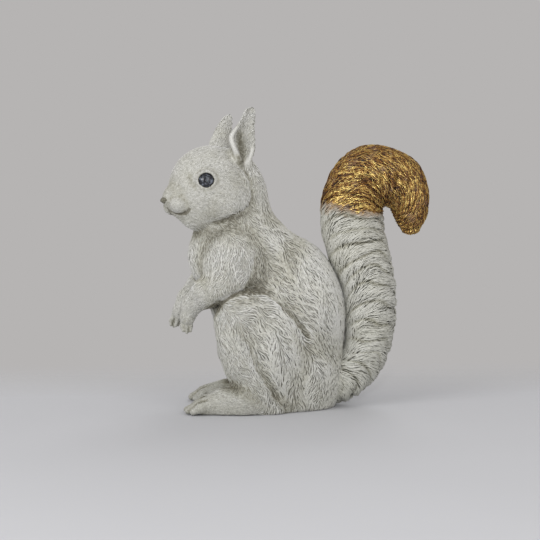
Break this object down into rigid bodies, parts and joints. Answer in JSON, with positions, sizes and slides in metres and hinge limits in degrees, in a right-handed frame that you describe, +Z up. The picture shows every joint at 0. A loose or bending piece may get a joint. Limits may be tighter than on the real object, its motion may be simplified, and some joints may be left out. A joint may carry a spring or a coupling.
{
  "type": "squirrel ornament",
  "caption": "Cast resin squirrel ornament sitting up on its haunches, with carved fur, glossy dark eyes and a gilded tail tip.",
  "frame": {"origin": "on the floor, at the middle of the bounding box's base", "axes": "+Z up, the nose points along -X and the tail lies towards +X, the animal's left side faces -Y"},
  "size_m": [0.2104, 0.0917, 0.2345],
  "materials": {
    "resin": "matte off-white paint over carved fur, grey-green wash in the hollows",
    "gilt": "worn gold paint over a dark brown wash",
    "eye": "glossy dark grey",
    "nose": "matte grey wash"
  },
  "bodies": {
    "root": {"head": "resin", "left_ear": "resin", "left_eye": "eye", "left_forearm": "resin", "left_front_paw": "resin", "left_hind_foot": "resin", "left_shank": "resin", "left_thigh": "resin", "left_upper_arm": "resin", "neck": "resin", "nose": "nose", "right_ear": "resin", "right_eye": "eye", "right_forearm": "resin", "right_front_paw": "resin", "right_hind_foot": "resin", "right_shank": "resin", "right_thigh": "resin", "right_upper_arm": "resin", "tail": "resin", "tail_curl": "gilt", "tail_root": "resin", "tail_tip": "gilt", "torso": "resin"}
  },
  "joints": []
}
